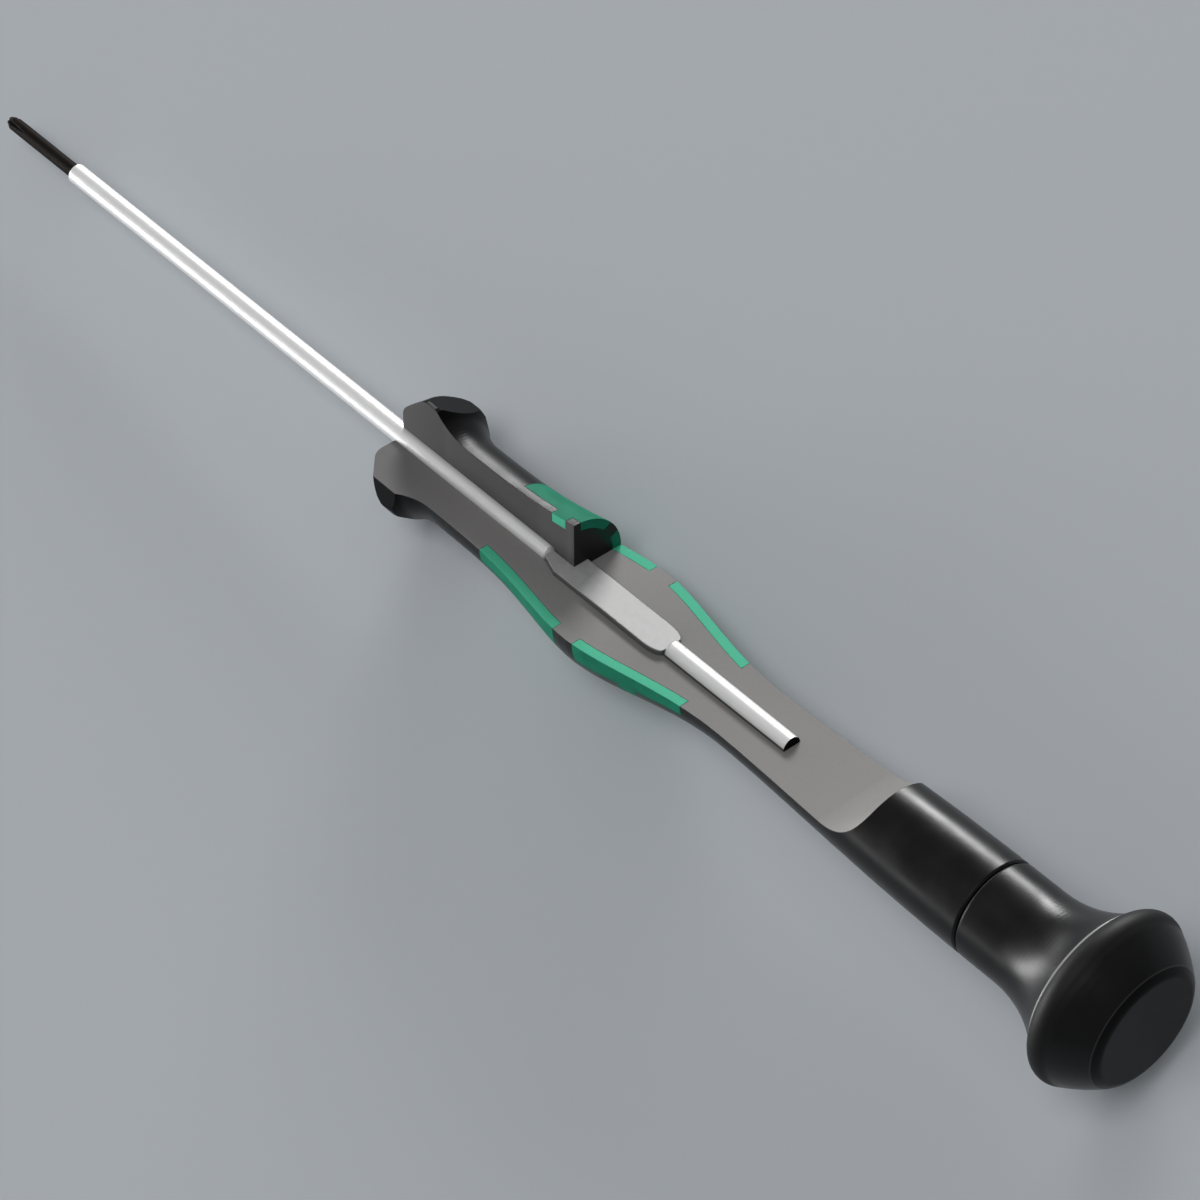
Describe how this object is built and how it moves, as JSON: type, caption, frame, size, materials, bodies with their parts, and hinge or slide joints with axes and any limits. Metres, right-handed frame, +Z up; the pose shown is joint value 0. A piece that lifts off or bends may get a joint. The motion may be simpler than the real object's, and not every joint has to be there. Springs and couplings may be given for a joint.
{
  "type": "micro screwdriver",
  "caption": "Precision screwdriver cut open to show the forged wing of its blade, with a hexagonal finger rest, soft grip pads and a freely turning cap.",
  "frame": {"origin": "on the axis at the handle's flat front face, where the blade comes out", "axes": "+X along the axis from the blade's tip to the cap, +Z up as the tool lies on a flat of its finger rest, +Y towards the front quarter that is kept; the half cut faces up and leans 30 degrees towards +Y"},
  "size_m": [0.1628, 0.0174, 0.0174],
  "materials": {
    "blade_steel": "satin chrome plating with a blackened tip",
    "handle_plastic": "satin black, grey on the cut faces",
    "grip_soft": "matte soft plastic, lighter on the cut faces",
    "cap_plastic": "satin black",
    "spindle_steel": "turned",
    "bush_bronze": "turned",
    "washer_plastic": "plain"
  },
  "bodies": {
    "handle": {"blade": "blade_steel", "handle_body": "handle_plastic", "front_grip": "grip_soft", "rear_grip": "grip_soft", "spindle": "spindle_steel", "thrust_washer": "washer_plastic"},
    "cap": {"cap_sleeve": "cap_plastic", "cap_head": "cap_plastic", "cap_bush": "bush_bronze"}
  },
  "joints": [
    {"name": "cap_spin", "type": "hinge", "parent": "handle", "child": "cap", "pos_m": [0.085, 0, 0], "axis": [1, 0, 0], "continuous": true}
  ]
}
